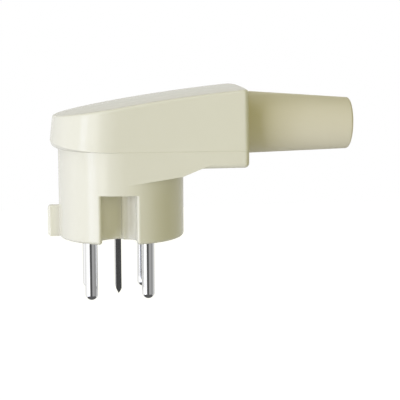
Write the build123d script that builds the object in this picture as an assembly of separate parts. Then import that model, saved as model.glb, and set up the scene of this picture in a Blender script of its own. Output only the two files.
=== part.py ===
from build123d import *
import os
from math import asin, atan, cos, degrees, radians, sin, sqrt, tan

# Angled five-pin three-phase plug, in millimetres.
# Origin: centre of the pin pattern on the pin face. Pins point to -Z, the cord leaves to +X.

# Contacts
pin_dia = 5.0
pin_length = 23.5
pin_pitch_x = 22.2
pin_pitch_y = 23.4
pin_tip_height = 1.9
pin_collar_dia = 5.8
pin_flange_dia = 6.6
pin_head_dia = 5.6
pin_head_height = 13.0
wire_bore_dia = 3.6
wire_bore_height = 5.5
flange_height = 2.0
blade_thickness = 2.2
blade_width = 8.0
blade_length = 23.2
blade_point = 2.4
blade_corner = 1.6
blade_shoulder_width = 11.0
tab_height = 14.0
earth_screw_height = 8.0

# Lower housing
wall = 2.6
face_thickness = 4.0
insert_radius = 24.7
insert_x = 1.65
rim_round = 1.4
groove_x = -0.65
groove_width = 13.3
groove_floor_y = 10.2
groove_top_z = 18.95
groove_wall = 1.5
groove_edge_round = 1.0
groove_step_x = 0.9
groove_step = 1.7
groove_step_round = 1.3
groove_sweep = 2.5
lug_reach = 4.35
lug_width = 3.4
lug_bottom_z = 0.45
lug_top_z = 12.7
lug_round = 1.2
shoulder_z = 22.9
haunch_x = 23.5
haunch_z = 25.9
arm_root_x = 30.5
arm_root_z = 28.7
arm_end_x = 49.25
arm_end_z = 28.8
arm_floor = 2.9
arm_edge_round = 1.8
end_corner = 2.0
parting_z = 35.4
seam_bevel = 0.15
lip_height = 2.0
lip_thickness = 1.2

# Top cover
nose_overhang = 3.4
nose_lip_round = 2.9
nose_rise_slope = 0.113
flank_draft_slope = 0.025
end_draft_slope = 0.016
roof_slope = 0.172
roof_bow_radius = 630.0
roof_crown = 0.7
roof_edge_round = 1.2

# Bend sleeve and cord clamp
cord_axis_z = 44.5
cord_bore_dia = 14.4
sleeve_base_dia = 25.0
sleeve_tip_dia = 20.5
sleeve_end_x = 93.3
sleeve_droop = 1.2
sleeve_rim_round = 1.0
sleeve_neck_dia = 21.0
sleeve_flange_dia = 23.0
sleeve_flange_length = 2.2
clamp_x = 33.5
clamp_length = 7.0
clamp_width = 31.0
clamp_bar_height = 3.4
clamp_arch = 2.2
clamp_screw_y = 12.0

# Fasteners
screw_dia = 3.5
screw_head_dia = 6.2
screw_head_height = 2.2
slot_width = 0.9
slot_depth = 1.0
terminal_head_dia = 5.4
earth_screw_dia = 4.0
earth_head_dia = 7.2
nut_width = 6.0
nut_height = 2.5
earth_nut_width = 7.0
earth_nut_height = 3.2
earth_plate_width = 8.0
earth_plate_height = 1.2
pressure_plate_height = 0.8
cover_screw_x = 41.0
cover_screw_y = 19.2
cover_screw_length = 11.0
boss_dia = 7.2
thread_insert_dia = 5.2
thread_insert_length = 6.0
retainer_height = 3.0
retainer_screw_offset = 15.0
retainer_screw_length = 6.0

# Clearances
fit_gap = 0.05
slide_gap = 0.15
room_gap = 0.4

# Places worked out from the sizes above
groove_radius = groove_width / 2
groove_centre_y = groove_floor_y + groove_radius
cavity_radius = insert_radius - wall
arm_floor_z = arm_root_z + arm_floor
flange_top_z = face_thickness + flange_height
retainer_top_z = flange_top_z + retainer_height
pin_head_top_z = flange_top_z + pin_head_height
wire_bore_z = flange_top_z + wire_bore_height
earth_screw_z = flange_top_z + earth_screw_height
retainer_screw_places = [(insert_x - retainer_screw_offset, 0), (insert_x + retainer_screw_offset, 0)]
cover_screw_places = [(cover_screw_x, -cover_screw_y), (cover_screw_x, cover_screw_y)]
droop_slope = tan(radians(sleeve_droop))
clamp_axis_z = cord_axis_z + (arm_end_x - clamp_x) * droop_slope
flange_x = arm_end_x - wall - sleeve_flange_length
clamp_rise = roof_slope * clamp_x - clamp_x ** 2 / (2 * roof_bow_radius)
flange_rise = roof_slope * flange_x - flange_x ** 2 / (2 * roof_bow_radius)
over_clamp = clamp_axis_z + cord_bore_dia / 2 + clamp_arch - clamp_rise
over_flange = cord_axis_z + sleeve_flange_dia / 2 - flange_rise
roof_edge_z = max(over_clamp, over_flange) + room_gap + wall - roof_crown
cover_height = roof_edge_z + roof_slope * arm_end_x + 10 * roof_crown - parting_z
clamp_screw_places = [(clamp_x, -clamp_screw_y), (clamp_x, clamp_screw_y)]
pin_places = {
    "phase_pin_1": (-pin_pitch_x / 2, -pin_pitch_y / 2),
    "phase_pin_2": (pin_pitch_x / 2, -pin_pitch_y / 2),
    "phase_pin_3": (pin_pitch_x / 2, pin_pitch_y / 2),
    "neutral_pin": (-pin_pitch_x / 2, pin_pitch_y / 2),
}


def disc(x, y, z, dia, height):
    """Upright cylinder that stands on z."""
    return Pos(x, y, z + height / 2) * Cylinder(dia / 2, height)


def rod(x, y, z, dia, length):
    """Cylinder along X that starts at x."""
    return Pos(x + length / 2, y, z) * Rot(0, 90, 0) * Cylinder(dia / 2, length)


def block(x_range, y_range, z_range):
    """Box between two limits on each axis."""
    sizes = [high - low for low, high in (x_range, y_range, z_range)]
    centre = [(high + low) / 2 for low, high in (x_range, y_range, z_range)]
    return Pos(*centre) * Box(*sizes)


def side_prism(points, half_width):
    """Outline in the XZ plane, carried the same way to both sides of it."""
    return extrude(Plane.XZ * make_face(Polyline(*points, close=True)), half_width, both=True)


def pill(nose_x, half_width, end_x, corner):
    """Plan of the plug: round nose, straight flanks, square cord end with small corners."""
    centre = nose_x + half_width
    inner_x = end_x - corner
    inner_y = half_width - corner
    edges = [
        CenterArc((centre, 0), half_width, 90, 180),
        Line((centre, -half_width), (inner_x, -half_width)),
        CenterArc((inner_x, -inner_y), corner, 270, 90),
        Line((end_x, -inner_y), (end_x, inner_y)),
        CenterArc((inner_x, inner_y), corner, 0, 90),
        Line((inner_x, half_width), (centre, half_width)),
    ]
    return make_face(edges)


def housing_plan(inset):
    """Plan of the lower housing, drawn in from its outside by inset."""
    corner = max(end_corner - inset, end_corner / 4)
    return pill(insert_x - insert_radius + inset, insert_radius - inset, arm_end_x - inset, corner)


def groove_plan(grow):
    """U slot in the front of the insert, widened all round by grow."""
    radius = groove_radius + grow
    outside = -insert_radius - wall
    edges = [
        CenterArc((0, -groove_centre_y), radius, 0, 180),
        Line((-radius, -groove_centre_y), (-radius, outside)),
        Line((-radius, outside), (radius, outside)),
        Line((radius, outside), (radius, -groove_centre_y)),
    ]
    return Pos(groove_x, 0) * make_face(edges)


def stepped_groove_plan():
    """The U slot with its cord-side half less deep, rounded over the step and swept into its wall."""
    step_y = -groove_floor_y - groove_step
    pad = Pos(groove_step_x + groove_width / 2, -groove_floor_y) * Rectangle(groove_width, 2 * groove_step)
    plan = groove_plan(0) - pad

    def corner(x, y):
        return plan.vertices().sort_by_distance((x, y))[0]

    plan = fillet(corner(groove_step_x, step_y), groove_step_round)
    return fillet(corner(groove_x + groove_radius, step_y), groove_sweep)


def both_grooves(plan, bottom, top):
    """Front and rear groove as two upright solids."""
    front = Pos(0, 0, bottom) * extrude(plan, top - bottom)
    return front + mirror(front, about=Plane.XZ)


def screw(dia, length, head_dia, head_height):
    """Slotted cheese-head screw, seat at the origin, shank to -Z."""
    body = disc(0, 0, -length, dia, length) + disc(0, 0, 0, head_dia, head_height)
    slot = Pos(0, 0, head_height) * Box(head_dia + slot_width, slot_width, 2 * slot_depth)
    return body - slot


def nut(width, height, bore):
    """Square nut that hangs under the origin."""
    return Pos(0, 0, -height / 2) * (Box(width, width, height) - Cylinder(bore / 2, height))


# Lower housing

def insert_body():
    """Round insert with a rounded rim and two U grooves, one round along their lips and foot."""
    drum = disc(insert_x, 0, 0, 2 * insert_radius, shoulder_z)
    drum = fillet(drum.edges().group_by(Axis.Z)[0], rim_round)
    insert = drum - both_grooves(stepped_groove_plan(), -wall, groove_top_z)

    def on_mouth(edge):
        middle = edge.center()
        beside = abs(middle.X - groove_x) < groove_radius + fit_gap
        inside = abs(middle.Y) < groove_centre_y + fit_gap and middle.Z > rim_round
        return beside and not inside and groove_top_z - fit_gap > middle.Z

    return fillet(insert.edges().filter_by(on_mouth), groove_edge_round)


def arm_body():
    """Upper half of the housing with the cord arm, cut free below the arm."""
    body = Pos(0, 0, shoulder_z) * extrude(housing_plan(0), parting_z - shoulder_z)
    body = chamfer(body.edges().group_by(Axis.Z)[-1], seam_bevel)
    start_x = insert_x + end_corner
    outside_x = arm_end_x + wall
    fall = (arm_end_z - arm_root_z) / (arm_end_x - arm_root_x)
    outside_z = arm_root_z + fall * (outside_x - arm_root_x)
    under = side_prism(
        [(start_x, shoulder_z), (haunch_x, haunch_z), (arm_root_x, arm_root_z),
         (outside_x, outside_z), (outside_x, shoulder_z - wall), (start_x, shoulder_z - wall)],
        insert_radius + wall,
    )
    body -= under - disc(insert_x, 0, 0, 2 * insert_radius, parting_z)
    low_edges = body.edges().filter_by(
        lambda e: e.center().X > arm_root_x and e.center().Z < arm_root_z + fit_gap
    )
    outer_edges = low_edges.filter_by(
        lambda e: abs(e.center().Y) > insert_radius - end_corner or e.center().X > arm_end_x - end_corner
    )
    return fillet(outer_edges, arm_edge_round)


def latch_lug():
    """Rounded lug on the nose side, which the socket lid hooks over."""
    inside_x = insert_x - cavity_radius - wall / 2
    outside_x = insert_x - insert_radius - lug_reach
    lug = block((outside_x, inside_x), (-lug_width / 2, lug_width / 2), (lug_bottom_z, lug_top_z))
    return fillet(lug.faces().sort_by(Axis.X)[0].edges(), lug_round)


def housing_cavity():
    """Well inside the insert and trough inside the arm."""
    top = parting_z + lip_height + wall
    well = disc(insert_x, 0, face_thickness, 2 * cavity_radius, top - face_thickness)
    well -= both_grooves(groove_plan(groove_wall), 0, groove_top_z + groove_wall)
    trough = Pos(0, 0, arm_floor_z) * extrude(housing_plan(wall), top - arm_floor_z)
    return well + trough


def lower_housing():
    body = insert_body() + arm_body()
    lip_inset = wall - lip_thickness
    body += Pos(0, 0, parting_z) * extrude(housing_plan(lip_inset), lip_height)
    body += latch_lug()
    body -= housing_cavity()
    for x, y in cover_screw_places:
        body += disc(x, y, arm_floor_z - wall / 2, boss_dia, parting_z - arm_floor_z + wall / 2)
        head_room = screw_head_dia + 2 * room_gap
        body -= disc(x, y, 0, head_room, arm_floor_z)
        body -= disc(x, y, 0, screw_dia + 2 * slide_gap, parting_z + lip_height)
        body -= disc(x, y, parting_z, boss_dia + 2 * slide_gap, lip_height + fit_gap)
    for x, y in retainer_screw_places:
        body += disc(x, y, face_thickness - fit_gap, boss_dia, flange_height + fit_gap)
        body -= disc(x, y, flange_top_z - retainer_screw_length + retainer_height, screw_dia + 2 * fit_gap,
                     retainer_screw_length)
    for x, y in pin_places.values():
        body -= disc(x, y, -wall, pin_collar_dia + 2 * fit_gap, face_thickness + 2 * wall)
    slot_size = (blade_thickness + 2 * fit_gap, blade_width + 2 * fit_gap)
    body -= Box(*slot_size, 3 * face_thickness)
    body -= rod(arm_end_x - 2 * wall, 0, cord_axis_z, sleeve_neck_dia + 2 * slide_gap, 3 * wall)
    return body


# Top cover

def roof_cutter(drop):
    """Everything above the roof, which is crowned across and bowed along the plug, lowered by drop."""
    reach = insert_radius + nose_overhang + wall
    crown_radius = (insert_radius ** 2 + roof_crown ** 2) / (2 * roof_crown)
    edge_drop = crown_radius - sqrt(crown_radius ** 2 - reach ** 2) - roof_crown
    height = insert_radius
    edges = [
        ThreePointArc((-reach, -edge_drop), (0, roof_crown), (reach, -edge_drop)),
        Line((reach, -edge_drop), (reach, height)),
        Line((reach, height), (-reach, height)),
        Line((-reach, height), (-reach, -edge_drop)),
    ]
    bow_axis = Axis((0, 0, -roof_bow_radius), (0, 1, 0))
    half_turn = degrees((arm_end_x + insert_radius) / roof_bow_radius)
    tilt = -degrees(atan(roof_slope))
    bowed = revolve(Plane.YZ * make_face(edges), bow_axis, 2 * half_turn).rotate(bow_axis, -half_turn)
    return Pos(0, 0, roof_edge_z - drop) * Rot(0, tilt, 0) * bowed


def cover_plan(rise, inset, nose_shift):
    """Plan of the cover at a rise above the parting plane, drawn in by inset."""
    nose_x = insert_x - insert_radius - nose_shift + nose_rise_slope * rise
    flank = insert_radius - flank_draft_slope * rise
    end_x = arm_end_x - end_draft_slope * rise
    corner = max(end_corner - inset, end_corner / 4)
    return Pos(0, 0, parting_z + rise) * pill(nose_x + inset, flank - inset, end_x - inset, corner)


def cover_prism(inset, nose_shift, bevel):
    """Drafted block of the cover before its roof is cut, with a bevel round its foot."""
    layers = [cover_plan(bevel, inset, nose_shift), cover_plan(cover_height, inset, nose_shift)]
    if bevel:
        layers.insert(0, cover_plan(0, inset + bevel, nose_shift))
    return loft(layers, ruled=True)


def nose_cutter():
    """Half ring below the overhanging nose, with a quarter round that runs out at the flanks."""
    inner = insert_radius + fit_gap
    outer = inner + nose_lip_round
    far = outer + wall
    low = parting_z - wall
    top = parting_z + nose_lip_round
    edges = [
        Line((inner, low), (inner, parting_z)),
        CenterArc((inner, top), nose_lip_round, 270, 90),
        Line((outer, top), (far, top)),
        Line((far, top), (far, low)),
        Line((far, low), (inner, low)),
    ]
    ring = revolve(Plane.YZ * make_face(edges), Axis.Z, 180)
    return Pos(insert_x, 0, 0) * ring


def cover_cavity():
    """Inside of the cover, with a rebate round its rim for the lip of the lower housing."""
    cavity = cover_prism(wall, 0, 0) - roof_cutter(wall)
    rebate_plan = housing_plan(wall - lip_thickness - slide_gap)
    rebate = Pos(0, 0, parting_z) * extrude(rebate_plan, lip_height + slide_gap)
    return cavity + rebate


def top_cover():
    block_out = cover_prism(0, nose_overhang, seam_bevel) - roof_cutter(0)
    roof = block_out.faces().sort_by(Axis.Z)[-1]
    block_out = fillet(roof.edges(), roof_edge_round)
    block_out -= nose_cutter()
    body = block_out - cover_cavity()
    for x, y in cover_screw_places:
        column = disc(x, y, parting_z, boss_dia, cover_height)
        body += column & block_out
        body -= disc(x, y, parting_z, thread_insert_dia, thread_insert_length)
        body -= disc(x, y, parting_z, screw_dia + 2 * slide_gap, cover_screw_length)
    body -= rod(arm_end_x - 2 * wall, 0, cord_axis_z, sleeve_neck_dia + 2 * slide_gap, 3 * wall)
    return body


# Cord side

def drooped(body):
    """Turns what was made along X to the cord's axis, about its place in the end wall."""
    return Pos(arm_end_x, 0, cord_axis_z) * Rot(0, sleeve_droop, 0) * Pos(-arm_end_x, 0, 0) * body


def bend_sleeve():
    """Soft cone that droops a little, with a neck for the end wall, an inner flange and a rounded mouth."""
    bore = cord_bore_dia / 2
    neck = sleeve_neck_dia / 2
    flange = sleeve_flange_dia / 2
    base = sleeve_base_dia / 2
    base_x = arm_end_x + fit_gap
    lean = end_draft_slope * (cord_axis_z + flange - parting_z) + flange * droop_slope
    flange_out = arm_end_x - wall - lean - fit_gap
    flange_in = flange_out - sleeve_flange_length
    inner_outline = Polyline(
        (flange_in, bore), (flange_in, flange), (flange_out, flange), (flange_out, neck),
        (base_x + wall, neck), (base_x + wall, bore), close=True,
    )
    inner = drooped(revolve(Plane.XZ * make_face(inner_outline), Axis.X))
    start_x = base_x - 2 * base * droop_slope
    cone_outline = Polyline(
        (start_x, bore), (start_x, base),
        (sleeve_end_x, sleeve_tip_dia / 2), (sleeve_end_x, bore), close=True,
    )
    profile = make_face(cone_outline)
    mouth = profile.vertices().filter_by(lambda v: v.X > sleeve_end_x - fit_gap)
    profile = fillet(mouth, sleeve_rim_round)
    cone = drooped(revolve(Plane.XZ * profile, Axis.X))
    z_range = (cord_axis_z - 2 * base, cord_axis_z + 2 * base)
    cone -= block((base_x - 2 * wall, base_x), (-2 * base, 2 * base), z_range)
    return inner + cone


def clamp_half(z_range):
    """Block across the arm with the cord's round bore taken out."""
    half = clamp_length / 2
    body = block((clamp_x - half, clamp_x + half), (-clamp_width / 2, clamp_width / 2), z_range)
    return body - rod(clamp_x - clamp_length, 0, clamp_axis_z, cord_bore_dia, 2 * clamp_length)


def cord_clamp_base():
    body = clamp_half((arm_floor_z, clamp_axis_z))
    pocket = nut_width + 2 * slide_gap
    for x, y in clamp_screw_places:
        body -= disc(x, y, arm_floor_z, screw_dia + 2 * slide_gap, clamp_axis_z - arm_floor_z)
        body -= Pos(x, y, arm_floor_z) * Box(pocket, pocket, 2 * (nut_height + nut_height))
    return body


def cord_clamp_bar():
    half = clamp_length / 2
    bar = block((clamp_x - half, clamp_x + half), (-clamp_width / 2, clamp_width / 2),
                (clamp_axis_z, clamp_axis_z + clamp_bar_height))
    arch = rod(clamp_x - half, 0, clamp_axis_z, cord_bore_dia + 2 * clamp_arch, clamp_length)
    side = 2 * clamp_width
    arch -= Pos(clamp_x, 0, clamp_axis_z - clamp_width) * Box(side, side, side)
    bar += arch
    bar -= rod(clamp_x - clamp_length, 0, clamp_axis_z, cord_bore_dia, 2 * clamp_length)
    for x, y in clamp_screw_places:
        bar -= disc(x, y, clamp_axis_z, screw_dia + 2 * slide_gap, clamp_bar_height)
    return bar


# Contacts

def contact_pin(x, y):
    """Turned pin: domed prong, collar in the pin face, flange and a tunnel terminal head."""
    radius = pin_dia / 2
    tip_z = -pin_length
    dome_z = tip_z + pin_tip_height
    dome_radius = (radius ** 2 + pin_tip_height ** 2) / (2 * pin_tip_height)
    half_angle = asin(radius / dome_radius) / 2
    low_z = tip_z + dome_radius * (1 - cos(half_angle))
    edges = [
        Line((0, tip_z), (0, pin_head_top_z)),
        Line((0, pin_head_top_z), (pin_head_dia / 2, pin_head_top_z)),
        Line((pin_head_dia / 2, pin_head_top_z), (pin_head_dia / 2, flange_top_z)),
        Line((pin_head_dia / 2, flange_top_z), (pin_flange_dia / 2, flange_top_z)),
        Line((pin_flange_dia / 2, flange_top_z), (pin_flange_dia / 2, face_thickness)),
        Line((pin_flange_dia / 2, face_thickness), (pin_collar_dia / 2, face_thickness)),
        Line((pin_collar_dia / 2, face_thickness), (pin_collar_dia / 2, 0)),
        Line((pin_collar_dia / 2, 0), (radius, 0)),
        Line((radius, 0), (radius, dome_z)),
        ThreePointArc((radius, dome_z), (dome_radius * sin(half_angle), low_z), (0, tip_z)),
    ]
    pin = revolve(Plane.XZ * make_face(edges), Axis.Z)
    pin -= rod(-pin_head_dia, 0, wire_bore_z, wire_bore_dia, 2 * pin_head_dia)
    pin -= disc(0, 0, wire_bore_z, screw_dia + 2 * fit_gap, pin_head_top_z - wire_bore_z)
    return Pos(x, y, 0) * pin


def earth_blade():
    """Flat blade with a pointed end, shoulders on the pin face and a drilled tab."""
    tip_z = -blade_length
    half = blade_thickness / 2
    flat_z = tip_z + blade_point
    top_z = flange_top_z + tab_height
    edge_on = side_prism(
        [(0, tip_z), (half, flat_z), (half, top_z), (-half, top_z), (-half, flat_z)], blade_shoulder_width
    )
    w = blade_width / 2
    s = blade_shoulder_width / 2
    outline = [
        (-w + blade_corner, tip_z), (w - blade_corner, tip_z), (w, tip_z + blade_corner),
        (w, face_thickness), (s, face_thickness), (s, flange_top_z), (w, flange_top_z),
        (w, top_z), (-w, top_z), (-w, flange_top_z),
        (-s, flange_top_z), (-s, face_thickness), (-w, face_thickness), (-w, tip_z + blade_corner),
    ]
    flat_on = extrude(Plane.YZ * make_face(Polyline(*outline, close=True)), blade_thickness, both=True)
    bore = rod(-blade_thickness, 0, earth_screw_z, earth_screw_dia + 2 * fit_gap, 2 * blade_thickness)
    return (edge_on & flat_on) - bore


def contact_retainer():
    """Insulating plate round the terminal heads, with room for the groove walls."""
    radius = cavity_radius - slide_gap
    plate = disc(insert_x, 0, flange_top_z, 2 * radius, retainer_height)
    plate -= both_grooves(groove_plan(groove_wall + slide_gap), 0, groove_top_z)
    for x, y in pin_places.values():
        plate -= disc(x, y, flange_top_z, pin_head_dia + 2 * slide_gap, retainer_height)
    for x, y in retainer_screw_places:
        plate -= disc(x, y, flange_top_z, screw_dia + 2 * slide_gap, retainer_height)
    tab_room = (blade_thickness + 2 * slide_gap, blade_width + 2 * slide_gap)
    return plate - Pos(0, 0, flange_top_z) * Box(*tab_room, 3 * retainer_height)


# Small parts

def terminal_screws():
    length = pin_head_top_z - wire_bore_z - wire_bore_dia / 2 - pressure_plate_height
    one = screw(screw_dia, length, terminal_head_dia, screw_head_height)
    return [Pos(x, y, pin_head_top_z) * one for x, y in pin_places.values()]


def wire_pressure_plates():
    bottom = wire_bore_z + wire_bore_dia / 2
    return [disc(x, y, bottom, screw_dia, pressure_plate_height) for x, y in pin_places.values()]


def retainer_screws():
    one = screw(screw_dia, retainer_screw_length, screw_head_dia, screw_head_height)
    return [Pos(x, y, retainer_top_z) * one for x, y in retainer_screw_places]


def cord_clamp_screws():
    length = clamp_bar_height + clamp_axis_z - arm_floor_z - nut_height / 2
    one = screw(screw_dia, length, screw_head_dia, screw_head_height)
    return [Pos(x, y, clamp_axis_z + clamp_bar_height) * one for x, y in clamp_screw_places]


def cord_clamp_nuts():
    one = nut(nut_width, nut_height, screw_dia + 2 * fit_gap)
    return [Pos(x, y, arm_floor_z + 2 * nut_height) * one for x, y in clamp_screw_places]


def cover_screws():
    one = Rot(180, 0, 0) * screw(screw_dia, cover_screw_length, screw_head_dia, screw_head_height)
    return [Pos(x, y, arm_floor_z) * one for x, y in cover_screw_places]


def cover_screw_inserts():
    one = disc(0, 0, 0, thread_insert_dia, thread_insert_length)
    one -= disc(0, 0, 0, screw_dia + 2 * fit_gap, thread_insert_length)
    return [Pos(x, y, parting_z) * one for x, y in cover_screw_places]


def earth_terminal_screw():
    seat = -blade_thickness / 2 - earth_plate_height
    length = earth_plate_height + blade_thickness + earth_nut_height
    return Pos(seat, 0, earth_screw_z) * Rot(0, -90, 0) * screw(
        earth_screw_dia, length, earth_head_dia, screw_head_height
    )


def earth_clamp_plate():
    seat = -blade_thickness / 2
    plate = block((seat - earth_plate_height, seat), (-earth_plate_width / 2, earth_plate_width / 2),
                  (earth_screw_z - earth_plate_width / 2, earth_screw_z + earth_plate_width / 2))
    return plate - rod(seat - earth_plate_height, 0, earth_screw_z, earth_screw_dia + 2 * fit_gap,
                       earth_plate_height)


def earth_terminal_nut():
    hung = nut(earth_nut_width, earth_nut_height, earth_screw_dia + 2 * fit_gap)
    return Pos(blade_thickness / 2, 0, earth_screw_z) * Rot(0, -90, 0) * hung


pieces = {
    "lower_housing": lower_housing(),
    "top_cover": top_cover(),
    "bend_sleeve": bend_sleeve(),
    "earth_blade": earth_blade(),
    "contact_retainer": contact_retainer(),
    "retainer_screws": retainer_screws(),
    "terminal_screws": terminal_screws(),
    "wire_pressure_plates": wire_pressure_plates(),
    "earth_clamp_plate": earth_clamp_plate(),
    "earth_terminal_screw": earth_terminal_screw(),
    "earth_terminal_nut": earth_terminal_nut(),
    "cord_clamp_base": cord_clamp_base(),
    "cord_clamp_bar": cord_clamp_bar(),
    "cord_clamp_screws": cord_clamp_screws(),
    "cord_clamp_nuts": cord_clamp_nuts(),
    "cover_screws": cover_screws(),
    "cover_screw_inserts": cover_screw_inserts(),
}
for name, (pin_x, pin_y) in pin_places.items():
    pieces[name] = contact_pin(pin_x, pin_y)

os.makedirs("parts", exist_ok=True)
for name, piece in pieces.items():
    solids = piece if isinstance(piece, list) else [piece]
    export_step(Compound(children=solids) if len(solids) > 1 else solids[0], f"parts/{name}.step")
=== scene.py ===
import bpy
import math
import numpy as np
from mathutils import Matrix, Vector

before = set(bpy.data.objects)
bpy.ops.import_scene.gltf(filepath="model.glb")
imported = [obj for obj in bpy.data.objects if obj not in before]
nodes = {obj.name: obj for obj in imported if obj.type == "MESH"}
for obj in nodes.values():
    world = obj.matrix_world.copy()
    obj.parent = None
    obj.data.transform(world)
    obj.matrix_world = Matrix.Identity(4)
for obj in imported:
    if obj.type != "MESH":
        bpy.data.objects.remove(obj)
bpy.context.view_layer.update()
scene = bpy.context.scene
scene.view_settings.view_transform = "Standard"
print("frame loaded,", len(nodes), "nodes")

white = (1, 1, 1, 1)
black = (0, 0, 0, 1)
noiseRoughness = 0.55
noiseMiddle = (0.3, 0.7)  # most of a noise lies between these


def addNode(tree, kind, **values):
    node = tree.nodes.new(kind)
    for key, value in values.items():
        if key in node.inputs:
            node.inputs[key].default_value = value
        else:
            setattr(node, key, value)
    return node


def newMaterial(name):
    material = bpy.data.materials.new(name)
    material.use_nodes = True
    tree = material.node_tree
    tree.nodes.clear()
    output = addNode(tree, "ShaderNodeOutputMaterial")
    shader = addNode(tree, "ShaderNodeBsdfPrincipled")
    tree.links.new(shader.outputs[0], output.inputs["Surface"])
    return material, tree, shader


# noise on object coordinates, in grains per metre; a small stretch on an axis draws it out along that axis
def grain(tree, scale, stretch=(1, 1, 1), detail=2.0):
    where = addNode(tree, "ShaderNodeTexCoord")
    mapping = addNode(tree, "ShaderNodeMapping", Scale=stretch)
    noise = addNode(tree, "ShaderNodeTexNoise", Scale=scale, Detail=detail, Roughness=noiseRoughness)
    tree.links.new(where.outputs["Object"], mapping.inputs["Vector"])
    tree.links.new(mapping.outputs["Vector"], noise.inputs["Vector"])
    return noise.outputs["Fac"]


# colour from pale to deep along a noise; a colour Mix has its colours at sockets 6 and 7, its result at 2
def tint(tree, shader, value, look):
    tone = addNode(tree, "ShaderNodeMix", data_type="RGBA")
    tone.inputs[6].default_value = (*look["pale"], 1)
    tone.inputs[7].default_value = (*look["deep"], 1)
    tree.links.new(value, tone.inputs[0])
    tree.links.new(tone.outputs[2], shader.inputs["Base Color"])


# roughness between its two limits, from the useful middle of a noise
def gloss(tree, shader, value, look):
    spread = addNode(tree, "ShaderNodeMapRange", clamp=True)
    spread.inputs["From Min"].default_value = noiseMiddle[0]
    spread.inputs["From Max"].default_value = noiseMiddle[1]
    spread.inputs["To Min"].default_value = look["roughness"][0]
    spread.inputs["To Max"].default_value = look["roughness"][1]
    tree.links.new(value, spread.inputs["Value"])
    tree.links.new(spread.outputs["Result"], shader.inputs["Roughness"])


# lays one relief over another, depths in metres
def relief(tree, shader, *layers):
    normal = None
    for value, depth in layers:
        bump = addNode(tree, "ShaderNodeBump", Strength=1.0, Distance=depth)
        tree.links.new(value, bump.inputs["Height"])
        if normal is not None:
            tree.links.new(normal, bump.inputs["Normal"])
        normal = bump.outputs["Normal"]
    tree.links.new(normal, shader.inputs["Normal"])


def dress(material, *names):
    for name in names:
        mesh = nodes[name].data
        mesh.materials.clear()
        mesh.materials.append(material)


ivoryLook = {
    "pale": (0.735, 0.712, 0.600),
    "deep": (0.715, 0.690, 0.572),
    "clouds": {"scale": 38.0, "detail": 3.0},
    "roughness": (0.15, 0.21),
    "haze": {"scale": 320.0, "detail": 4.0},
    "ior": 1.52,
    "peel": {"scale": 420.0},
    "peelDepth": 0.000006,
    "polish": {"scale": 2600.0},
    "polishDepth": 0.0000015,
}


# glossy ivory moulding: slow clouds in the tint, faint orange peel and polishing haze
def ivoryMoulding(look):
    material, tree, shader = newMaterial("ivoryMoulding")
    tint(tree, shader, grain(tree, **look["clouds"]), look)
    gloss(tree, shader, grain(tree, **look["haze"]), look)
    shader.inputs["IOR"].default_value = look["ior"]
    peel = grain(tree, **look["peel"])
    polish = grain(tree, **look["polish"])
    relief(tree, shader, (peel, look["peelDepth"]), (polish, look["polishDepth"]))
    return material


sleeveLook = {
    "pale": (0.706, 0.660, 0.525),
    "deep": (0.681, 0.633, 0.495),
    "clouds": {"scale": 55.0, "detail": 3.0},
    "roughness": (0.52, 0.64),
    "mottle": {"scale": 900.0, "detail": 3.0},
    "ior": 1.48,
    "specular": 0.12,
    "pits": {"scale": 1500.0, "detail": 3.0},
    "pitDepth": 0.00002,
    "finePits": {"scale": 4200.0},
    "finePitDepth": 0.000008,
}


# soft matt sleeve: fine spark-eroded grain
def softSleeve(look):
    material, tree, shader = newMaterial("softSleeve")
    tint(tree, shader, grain(tree, **look["clouds"]), look)
    gloss(tree, shader, grain(tree, **look["mottle"]), look)
    shader.inputs["IOR"].default_value = look["ior"]
    shader.inputs["Specular IOR Level"].default_value = look["specular"]
    pits = grain(tree, **look["pits"])
    finePits = grain(tree, **look["finePits"])
    relief(tree, shader, (pits, look["pitDepth"]), (finePits, look["finePitDepth"]))
    return material


pinLook = {
    "pale": (0.86, 0.86, 0.855),
    "deep": (0.82, 0.82, 0.815),
    "film": {"scale": 260.0, "detail": 3.0},
    "roughness": (0.035, 0.06),
    "turning": {"scale": 1.0, "stretch": (60, 60, 5200), "detail": 3.0},
    "turningDepth": 0.0000002,
}


# bright nickel plate: turning marks run round the pin, so the grain is drawn out across X and Y
def brightNickel(look):
    material, tree, shader = newMaterial("brightNickel")
    shader.inputs["Metallic"].default_value = 1.0
    turning = grain(tree, **look["turning"])
    tint(tree, shader, grain(tree, **look["film"]), look)
    gloss(tree, shader, turning, look)
    relief(tree, shader, (turning, look["turningDepth"]))
    return material


bladeLook = {
    "pale": (0.56, 0.56, 0.565),
    "deep": (0.47, 0.47, 0.475),
    "roughness": (0.10, 0.18),
    "streaks": {"scale": 1.0, "stretch": (3600, 3600, 90), "detail": 4.0},
    "streakDepth": 0.000003,
}


# drawn strip: streaks along the blade
def drawnStrip(look):
    material, tree, shader = newMaterial("drawnStrip")
    shader.inputs["Metallic"].default_value = 1.0
    streaks = grain(tree, **look["streaks"])
    tint(tree, shader, streaks, look)
    gloss(tree, shader, streaks, look)
    relief(tree, shader, (streaks, look["streakDepth"]))
    return material


tumbling = {
    "film": {"scale": 700.0, "detail": 4.0},
    "marks": {"scale": 3200.0, "detail": 3.0},
    "markDepth": 0.000004,
}
zincLook = {
    "pale": (0.62, 0.64, 0.66),
    "deep": (0.52, 0.53, 0.54),
    "roughness": (0.24, 0.42),
    **tumbling,
}
brassLook = {
    "pale": (0.80, 0.62, 0.32),
    "deep": (0.70, 0.52, 0.25),
    "roughness": (0.22, 0.36),
    **tumbling,
}


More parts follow.
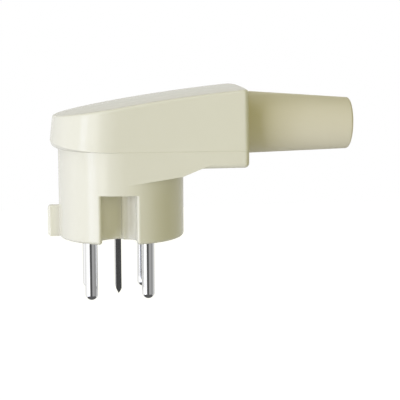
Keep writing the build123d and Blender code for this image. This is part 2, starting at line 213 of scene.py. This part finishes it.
# plated or bare metal of the small parts: cloudy film and fine tumbling marks
def smallMetal(name, look):
    material, tree, shader = newMaterial(name)
    shader.inputs["Metallic"].default_value = 1.0
    marks = grain(tree, **look["marks"])
    tint(tree, shader, grain(tree, **look["film"]), look)
    gloss(tree, shader, marks, look)
    relief(tree, shader, (marks, look["markDepth"]))
    return material


insulatorLook = {
    "pale": (0.060, 0.058, 0.055),
    "deep": (0.042, 0.041, 0.040),
    "roughness": (0.42, 0.58),
    "mottle": {"scale": 800.0, "detail": 4.0},
    "mottleDepth": 0.00001,
}


# dark moulding of the inner pieces
def darkInsulator(look):
    material, tree, shader = newMaterial("darkInsulator")
    mottle = grain(tree, **look["mottle"])
    tint(tree, shader, mottle, look)
    gloss(tree, shader, mottle, look)
    relief(tree, shader, (mottle, look["mottleDepth"]))
    return material


dress(ivoryMoulding(ivoryLook), "lower_housing", "top_cover")
dress(softSleeve(sleeveLook), "bend_sleeve")
dress(brightNickel(pinLook), "phase_pin_1", "phase_pin_2", "phase_pin_3", "neutral_pin")
dress(drawnStrip(bladeLook), "earth_blade")
dress(smallMetal("zincScrews", zincLook), "retainer_screws", "terminal_screws", "wire_pressure_plates",
      "earth_terminal_screw", "cord_clamp_screws", "cord_clamp_nuts", "cover_screws")
dress(smallMetal("turnedBrass", brassLook), "earth_clamp_plate", "earth_terminal_nut",
      "cover_screw_inserts")
dress(darkInsulator(insulatorLook), "contact_retainer", "cord_clamp_base", "cord_clamp_bar")
print("materials set")

# metres, degrees, and millimetres for the lens and its sensor
cameraView = {
    "place": (-0.031167, -0.490554, 0.085529),
    "azimuth": -7.4756,
    "elevation": 8.3032,
    "roll": 0.167,
    "lens": 112.27,
    "sensor": 36.0,
    "clip": (0.01, 20.0),
}


def addCamera(view):
    azimuth = math.radians(view["azimuth"])
    elevation = math.radians(view["elevation"])
    roll = math.radians(view["roll"])
    level = math.cos(elevation)
    ahead = Vector((-math.sin(azimuth) * level, math.cos(azimuth) * level, -math.sin(elevation)))
    right = Vector((math.cos(azimuth), math.sin(azimuth), 0))
    up = right.cross(ahead)
    cameraX = right * math.cos(roll) - up * math.sin(roll)
    cameraY = right * math.sin(roll) + up * math.cos(roll)
    data = bpy.data.cameras.new("photoCamera")
    data.lens = view["lens"]
    data.sensor_width = view["sensor"]
    data.clip_start, data.clip_end = view["clip"]
    camera = bpy.data.objects.new("photoCamera", data)
    axes = Matrix((cameraX, cameraY, -ahead)).transposed().to_4x4()
    camera.matrix_world = Matrix.Translation(view["place"]) @ axes
    scene.collection.objects.link(camera)
    scene.camera = camera


addCamera(cameraView)
print("camera set")

# lamps stand round the plug: turn goes from the front (-Y) to the right and rise up from level, in degrees;
# away and size are in metres, power in watts, and mirrored says whether gloss shows the lamp
lampAim = Vector((0.015, 0.0, 0.03))
lampSet = {
    "keyBox": {"turn": -51, "rise": 1, "away": 1.90, "size": (0.80, 1.20), "power": 14.4,
               "tint": (0.95, 1.0, 1.27), "mirrored": False},
    "sideBox": {"turn": -34, "rise": 0, "away": 1.90, "size": (0.36, 1.20), "power": 7.8,
                "tint": (0.97, 1.0, 1.15), "mirrored": False},
    "keyGlow": {"turn": -59, "rise": -8, "away": 0.95, "size": (0.22, 0.90), "power": 0.95,
                "tint": (0.82, 0.90, 1.35), "mirrored": True},
    "frontFill": {"turn": 18, "rise": 6, "away": 0.95, "size": (0.30, 0.60), "power": 1.45,
                  "tint": (1.0, 1.0, 0.67), "mirrored": False},
    "topBox": {"turn": -85, "rise": 56, "away": 0.95, "size": (0.60, 0.60), "power": 2.8,
               "tint": (0.90, 0.94, 1.10), "mirrored": False},
    "endBox": {"turn": 132, "rise": 10, "away": 0.95, "size": (0.50, 0.50), "power": 2.2,
               "tint": (0.95, 1.0, 1.25), "mirrored": False},
    "backBox": {"turn": 172, "rise": 10, "away": 0.95, "size": (0.70, 0.70), "power": 5.2,
                "tint": (0.97, 1.0, 1.15), "mirrored": False},
}


def addLamp(name, lamp):
    turn = math.radians(lamp["turn"])
    rise = math.radians(lamp["rise"])
    data = bpy.data.lights.new(name, "AREA")
    data.shape = "RECTANGLE"
    data.size, data.size_y = lamp["size"]
    data.energy = lamp["power"]
    data.color = lamp["tint"]
    obj = bpy.data.objects.new(name, data)
    toLamp = Vector((math.sin(turn) * math.cos(rise), -math.cos(turn) * math.cos(rise), math.sin(rise)))
    obj.location = lampAim + toLamp * lamp["away"]
    obj.rotation_euler = (-toLamp).to_track_quat("-Z", "Y").to_euler()
    obj.visible_glossy = lamp["mirrored"]
    scene.collection.objects.link(obj)


for name, lamp in lampSet.items():
    addLamp(name, lamp)

skyLook = {"light": 0.30, "tint": (1.0, 0.94, 0.42), "seen": 1.0}


# 1 on rays from the camera, from a mirror or through glass
def rayIsSeen(tree):
    path = addNode(tree, "ShaderNodeLightPath")
    mirrored = addNode(tree, "ShaderNodeMath", operation="MAXIMUM")
    seen = addNode(tree, "ShaderNodeMath", operation="MAXIMUM")
    tree.links.new(path.outputs["Is Camera Ray"], mirrored.inputs[0])
    tree.links.new(path.outputs["Is Glossy Ray"], mirrored.inputs[1])
    tree.links.new(mirrored.outputs[0], seen.inputs[0])
    tree.links.new(path.outputs["Is Transmission Ray"], seen.inputs[1])
    return seen.outputs[0]


# the world lights the plug softly, and is plain white where the camera or a mirror sees it
def addSky(look):
    world = bpy.data.worlds.new("paleStudio")
    scene.world = world
    world.use_nodes = True
    tree = world.node_tree
    tree.nodes.clear()
    output = addNode(tree, "ShaderNodeOutputWorld")
    light = addNode(tree, "ShaderNodeBackground", Color=(*look["tint"], 1), Strength=look["light"])
    seen = addNode(tree, "ShaderNodeBackground", Color=white, Strength=look["seen"])
    mix = addNode(tree, "ShaderNodeMixShader")
    tree.links.new(rayIsSeen(tree), mix.inputs[0])
    tree.links.new(light.outputs[0], mix.inputs[1])
    tree.links.new(seen.outputs[0], mix.inputs[2])
    tree.links.new(mix.outputs[0], output.inputs["Surface"])


addSky(skyLook)
print("lamps and sky set")


# mesh from three arrays of one grid; faces join each point to its next neighbours
def gridMesh(name, x, y, z):
    rows, columns = x.shape
    mesh = bpy.data.meshes.new(name)
    index = np.arange(rows * columns).reshape(rows, columns)
    faces = np.stack([index[:-1, :-1], index[1:, :-1], index[1:, 1:], index[:-1, 1:]], -1).reshape(-1, 4)
    points = np.stack([x, y, z], -1).reshape(-1, 3)
    mesh.from_pydata(points.tolist(), [], faces.tolist())
    mesh.update()
    obj = bpy.data.objects.new(name, mesh)
    scene.collection.objects.link(obj)
    return obj


# lift is the glow that the camera and mirrors see, so that the pale floor is white and keeps a shadow
floorLook = {
    "level": -0.60,
    "reach": 4.0,
    "points": 9,
    "pale": (0.60, 0.60, 0.60),
    "roughness": 0.9,
    "lift": 0.93,
}


# square sheet: x and y both run from -reach to reach, z is the level
def addFloor(look):
    side = np.linspace(-look["reach"], look["reach"], look["points"])
    x, y = np.meshgrid(side, side, indexing="ij")
    floor = gridMesh("paleFloor", x, y, np.full_like(x, look["level"]))
    material, tree, shader = newMaterial("paleFloor")
    shader.inputs["Base Color"].default_value = (*look["pale"], 1)
    shader.inputs["Roughness"].default_value = look["roughness"]
    shader.inputs["Specular IOR Level"].default_value = 0.0
    shader.inputs["Emission Color"].default_value = white
    strength = addNode(tree, "ShaderNodeMath", operation="MULTIPLY")
    strength.inputs[1].default_value = look["lift"]
    tree.links.new(rayIsSeen(tree), strength.inputs[0])
    tree.links.new(strength.outputs[0], shader.inputs["Emission Strength"])
    floor.data.materials.append(material)


addFloor(floorLook)

# studio cards that only mirrors see, turned as the lamps are: they draw the dark and grey bands in the pins
cardSet = {
    "whiteCard": {"turns": (-112, -29), "shade": 1.15},
    "darkCard": {"turns": (-29, 8), "shade": 0.10},
    "greyCard": {"turns": (8, 50), "shade": 0.41},
    "deepGreyCard": {"turns": (50, 74), "shade": 0.31},
    "midGreyCard": {"turns": (74, 98), "shade": 0.46},
    "paleCard": {"turns": (98, 186), "shade": 0.74},
    "edgeCard": {"turns": (186, 248), "shade": 0.90},
}
cardWall = {"levels": (-0.59, 0.9), "away": 1.3, "foot": 0.5, "points": 25}


# an even shade that lights nothing and shows only in mirrors
def mirrorOnly(obj, shade):
    material, _, shader = newMaterial(obj.name)
    shader.inputs["Base Color"].default_value = black
    shader.inputs["Specular IOR Level"].default_value = 0.0
    shader.inputs["Emission Color"].default_value = white
    shader.inputs["Emission Strength"].default_value = shade
    obj.data.materials.append(material)
    obj.visible_camera = False
    obj.visible_diffuse = False
    obj.visible_shadow = False
    obj.visible_transmission = False


# bent sheet: an L of foot and wall, radius and level, carried round the plug along the turn;
# x is the radius times the turn's sine, y is minus the radius times its cosine
def addCard(name, card, wall):
    start, end = card["turns"]
    turn = np.radians(np.linspace(start, end, wall["points"]))
    low, high = wall["levels"]
    radius = np.array((wall["foot"], wall["away"], wall["away"]))
    level = np.array((low, low, high))
    x = np.outer(np.sin(turn), radius)
    y = -np.outer(np.cos(turn), radius)
    obj = gridMesh(name, x, y, np.outer(np.ones_like(turn), level))
    mirrorOnly(obj, card["shade"])


for name, card in cardSet.items():
    addCard(name, card, cardWall)

tipSheet = {"level": -0.34, "reach": 0.36, "shade": 0.12, "rings": 5, "points": 33}


# round dark sheet below the pins, mirrored in their tips: x and y are the radius times the turn's cosine
# and sine, z is the level
def addTipSheet(sheet):
    radius = np.linspace(0.0, sheet["reach"], sheet["rings"])
    turn = np.linspace(0.0, 2 * np.pi, sheet["points"])
    radius, turn = np.meshgrid(radius, turn, indexing="ij")
    x = radius * np.cos(turn)
    y = radius * np.sin(turn)
    obj = gridMesh("tipSheet", x, y, np.full_like(radius, sheet["level"]))
    mirrorOnly(obj, sheet["shade"])


addTipSheet(tipSheet)
print("floor and cards set")
